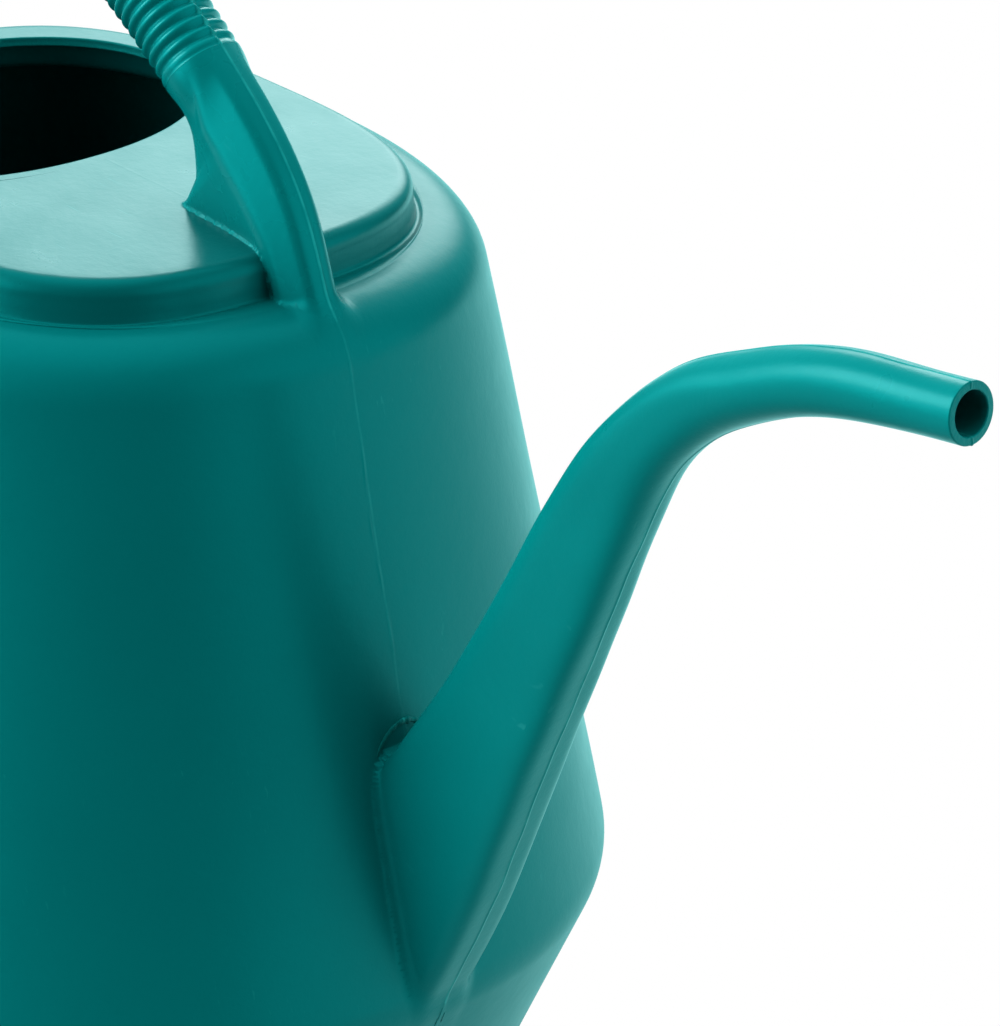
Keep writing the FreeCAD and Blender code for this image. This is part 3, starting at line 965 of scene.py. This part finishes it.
finishPiece(runPiece("frontLeg", leg, legNormals), "handle", "handle_front_leg", "handle_web")
finishPiece(runPiece("rearLeg", rear, rearNormals), "handle", "handle_rear_leg")
print("body, spout and legs made")


# the pinched weld over the spout's back edge

weldForm = dict(reach=8.6, top=133.0, drop=4.4, high=0.42, wide=0.75, roughness=0.22,
                dropHalf=7.6, facing=(0.97, 0, 0.24), rows=60, columns=16, smooth=5, seed=31)


def pinchedWeld():
    f = weldForm
    y = np.linspace(-f["reach"], f["reach"], f["rows"])
    z = f["top"] - f["drop"] * (y / f["dropHalf"]) ** 2
    x = []
    for level, side in zip(z, y):
        a, b = halfAt(0, level, 0), halfAt(1, level, 0)
        x.append(a * (1 - (abs(side) / b) ** bodyForm["power"]) ** (1 / bodyForm["power"]))
    line = np.stack([x, y, z], -1)
    along = np.gradient(line, axis=0)
    along /= np.linalg.norm(along, axis=1, keepdims=True)
    out = np.cross(along, np.cross(np.array(f["facing"]), along))
    out /= np.linalg.norm(out, axis=1, keepdims=True)
    side = np.cross(out, along)
    turn = np.linspace(0, 2 * math.pi, f["columns"] + 1)[:-1]
    draws = np.random.default_rng(f["seed"]).normal(size=f["rows"] + f["smooth"] - 1)
    lumps = 1 + f["roughness"] * np.convolve(draws, np.ones(f["smooth"]) / 3, mode="valid")
    taper = np.sqrt(np.clip(1 - (y / f["reach"]) ** 2, 0.02, 1)) * lumps
    ring = line[:, None] + out[:, None] * (np.cos(turn)[None, :, None] * (f["high"] * taper)[:, None, None])
    ring = ring + side[:, None] * (np.sin(turn)[None, :, None] * (f["wide"] * taper)[:, None, None])
    return runPiece("pinchedWeld", ring, gridNormals(ring))


weld = pinchedWeld()
weld.data.materials.append(materials["weld"])
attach(weld, "root")


# ribs of the grip

ribForm = dict(
    pitch=2.85, height=1.3, softness=0.03, halfStep=0.5, flash=0.25, flashWidth=0.5,
    crossing=0.3, firstRib=0.3, fadeIn=5.0, fadeOut=10.0,
)


def ribTree():
    tree = bpy.data.node_groups.new("gripRibs", "GeometryNodeTree")
    face = tree.interface
    face.new_socket("Geometry", in_out="INPUT", socket_type="NodeSocketGeometry")
    for name in ("Rib pitch", "Rib height", "Softness", "Half step", "Flash height", "Flash width"):
        face.new_socket(name, in_out="INPUT", socket_type="NodeSocketFloat")
    face.new_socket("Plastic", in_out="INPUT", socket_type="NodeSocketMaterial")
    face.new_socket("Geometry", in_out="OUTPUT", socket_type="NodeSocketGeometry")
    given = tree.nodes.new("NodeGroupInput").outputs
    do = partial(mathNode, tree)

    def attribute(name):
        made = addNode(tree, "GeometryNodeInputNamedAttribute", dict(Name=name), data_type="FLOAT")
        return made.outputs["Attribute"]

    along, side, fade = attribute("along"), attribute("side"), attribute("fade")
    over = rangeNode(tree, side, -ribForm["crossing"], ribForm["crossing"])
    phase = do("ADD", do("DIVIDE", along, given["Rib pitch"]),
                     do("MULTIPLY", over, given["Half step"]))
    wave = do("SINE", do("MULTIPLY", phase, math.pi))
    square = do("ADD", do("MULTIPLY", wave, wave), given["Softness"])
    bulge = do("SUBTRACT", do("SQRT", square), 1.0)
    ribs = do("MULTIPLY", do("MULTIPLY", bulge, given["Rib height"]), fade)
    near = do("DIVIDE", side, given["Flash width"])
    ridge = do("EXPONENT", do("MULTIPLY", do("MULTIPLY", near, near), -1.0))
    flash = do("MULTIPLY", ridge, given["Flash height"])
    height = do("MULTIPLY", do("ADD", ribs, flash), mm)
    outward = tree.nodes.new("GeometryNodeInputNormal").outputs["Normal"]
    offset = addNode(tree, "ShaderNodeVectorMath", {0: outward, "Scale": height}, operation="SCALE")
    move = addNode(tree, "GeometryNodeSetPosition",
                   dict(Geometry=given["Geometry"], Offset=offset.outputs[0]))
    realize = addNode(tree, "GeometryNodeRealizeInstances", dict(Geometry=move.outputs["Geometry"]))
    paint = addNode(tree, "GeometryNodeSetMaterial",
                    dict(Geometry=realize.outputs["Geometry"], Material=given["Plastic"]))
    addNode(tree, "NodeGroupOutput", dict(Geometry=paint.outputs["Geometry"]))
    return tree


def ribbedGrip():
    base = runPiece("ribbedGrip", grip, gridNormals(grip))
    mesh = base.data
    if "custom_normal" in mesh.attributes:
        mesh.attributes.remove(mesh.attributes["custom_normal"])
    rows, cols = grip.shape[:2]
    fade = ribForm["firstRib"] + (1 - ribForm["firstRib"]) * ease(0, ribForm["fadeIn"], gripAt)
    fade *= 1 - ease(gripAt[-1] - ribForm["fadeOut"], gripAt[-1], gripAt)
    fade[0] = 0
    ends = [0.0, 0.0]
    for name, values in (
        ("along", list(np.repeat(gripAt, cols)) + ends),
        ("side", list(grip[..., 1].reshape(-1)) + ends),
        ("fade", list(np.repeat(fade, cols)) + ends),
    ):
        made = mesh.attributes.new(name, "FLOAT", "POINT")
        made.data.foreach_set("value", values)
    tree = ribTree()
    modifier = base.modifiers.new("ribs", "NODES")
    modifier.node_group = tree
    sizes = {
        "Rib pitch": ribForm["pitch"], "Rib height": ribForm["height"], "Softness": ribForm["softness"],
        "Half step": ribForm["halfStep"], "Flash height": ribForm["flash"],
        "Flash width": ribForm["flashWidth"], "Plastic": materials["grip"],
    }
    for item in tree.interface.items_tree:
        if item.in_out == "INPUT" and item.name in sizes:
            modifier[item.identifier] = sizes[item.name]
    bpy.context.view_layer.update()
    made = bpy.data.meshes.new_from_object(base.evaluated_get(bpy.context.evaluated_depsgraph_get()))
    base.modifiers.remove(modifier)
    base.data = made
    made.name = "ribbedGrip"
    return base


finishPiece(ribbedGrip(), "grip", "handle_grip")
print("grip ribs made")


# floor, light and camera

stageForm = dict(
    toward=46.1, behind=4.5, before=0.42, side=4.0, glow=(0.1, 1.15), glowSpan=(-0.15, 0.3),
    tint=(0.5, 1, 0.98, 1), grey=(0.3, 0.3, 0.3, 1), roughness=0.9, shine=0.1,
)
lightForm = dict(
    dark=0.02, darkColour=(0.4, 1, 1, 1),
    glows=(  # direction, where it starts, where it is full, strength, colour
        ((-0.55, 0.68, 0.42), 0.915, 1.0, 4.6, (1, 0.98, 0.97)),
        ((-0.45, 0.35, 0.85), 0.25, 0.95, 1.6, (0.1, 1, 1)),
        ((0.88, 0.42, 0.22), 0.7, 0.98, 2.2, (0.05, 1, 1)),
        ((-0.55, -0.83, 0.2), 0.64, 0.97, 4.5, (0.06, 1, 1)),
        ((-0.65, -0.62, 0.43), 0.94, 0.99, 6.0, (1, 1, 1)),
    ),
)
cameraForm = dict(
    azimuth=46.103, elevation=26.062, roll=2.564, distance=965.413,
    target=(147.301, 0.0, 192.916), lens=165.63,
)


def makeFloor():
    f = stageForm
    turn = math.radians(f["toward"])
    front, side = Vector((math.sin(turn), -math.cos(turn), 0)), Vector((math.cos(turn), math.sin(turn), 0))
    corners = [front * f["before"] + side * f["side"], front * -f["behind"] + side * f["side"],
               front * -f["behind"] - side * f["side"], front * f["before"] - side * f["side"]]
    mesh = bpy.data.meshes.new("floor")
    mesh.from_pydata([tuple(c) for c in corners], [], [(0, 1, 2, 3)])
    floor = bpy.data.objects.new("floor", mesh)
    bpy.context.scene.collection.objects.link(floor)
    material = bpy.data.materials.new("paleFloor")
    material.use_nodes = True
    tree = material.node_tree
    shader = tree.nodes["Principled BSDF"]
    for socket, key in (("Base Color", "grey"), ("Roughness", "roughness"), ("Specular IOR Level", "shine"),
                        ("Emission Color", "tint")):
        shader.inputs[socket].default_value = f[key]
    where = tree.nodes.new("ShaderNodeTexCoord").outputs["Object"]
    split = addNode(tree, "ShaderNodeSeparateXYZ", {0: where})  # the floor is brighter on the +Y side
    glow = rangeNode(tree, split.outputs["Y"], *f["glowSpan"], *f["glow"])
    tree.links.new(glow, shader.inputs["Emission Strength"])
    seen = tree.nodes.new("ShaderNodeLightPath").outputs["Is Camera Ray"]
    paper = tree.nodes.new("ShaderNodeEmission").outputs[0]
    mix = addNode(tree, "ShaderNodeMixShader", {0: seen, 1: shader.outputs[0], 2: paper})
    tree.links.new(mix.outputs[0], tree.nodes["Material Output"].inputs["Surface"])
    mesh.materials.append(material)


def makeLight():
    f = lightForm
    world = bpy.data.worlds.new("softRoom")
    bpy.context.scene.world = world
    world.use_nodes = True
    tree = world.node_tree
    tree.nodes.clear()
    where = tree.nodes.new("ShaderNodeTexCoord").outputs["Generated"]

    def background(colour, strength):
        return addNode(tree, "ShaderNodeBackground", dict(Color=colour, Strength=strength)).outputs[0]

    room = background(f["darkColour"], f["dark"])
    for direction, start, full, strength, colour in f["glows"]:
        way = Vector(direction).normalized()
        toward = addNode(tree, "ShaderNodeVectorMath", {0: where, 1: way}, operation="DOT_PRODUCT")
        power = rangeNode(tree, toward.outputs["Value"], start, full, 0, strength)
        room = addNode(tree, "ShaderNodeAddShader", {0: room, 1: background((*colour, 1), power)}).outputs[0]
    seen = tree.nodes.new("ShaderNodeLightPath").outputs["Is Camera Ray"]
    mix = addNode(tree, "ShaderNodeMixShader", {0: seen, 1: room, 2: background((1, 1, 1, 1), 1)})
    addNode(tree, "ShaderNodeOutputWorld", dict(Surface=mix.outputs[0]))


def makeCamera():
    f = cameraForm
    az, el, roll = (math.radians(f[key]) for key in ("azimuth", "elevation", "roll"))
    back = Vector((math.sin(az) * math.cos(el), -math.cos(az) * math.cos(el), math.sin(el)))
    right = Vector((math.cos(az), math.sin(az), 0))
    up = back.cross(right)
    right, up = right * math.cos(roll) + up * math.sin(roll), up * math.cos(roll) - right * math.sin(roll)
    camera = bpy.data.objects.new("camera", bpy.data.cameras.new("camera"))
    place = Matrix((right, up, back)).transposed().to_4x4()
    place.translation = (Vector(f["target"]) + back * f["distance"]) * mm
    camera.matrix_world = place
    camera.data.lens = f["lens"]
    camera.data.sensor_width = 36
    camera.data.sensor_fit = "AUTO"
    camera.data.clip_start, camera.data.clip_end = 0.05, 30
    bpy.context.scene.collection.objects.link(camera)
    bpy.context.scene.camera = camera


makeFloor()
makeLight()
makeCamera()
bpy.context.scene.view_settings.view_transform = "Standard"
bpy.context.scene.view_settings.look = "None"
print("floor, light and camera set")
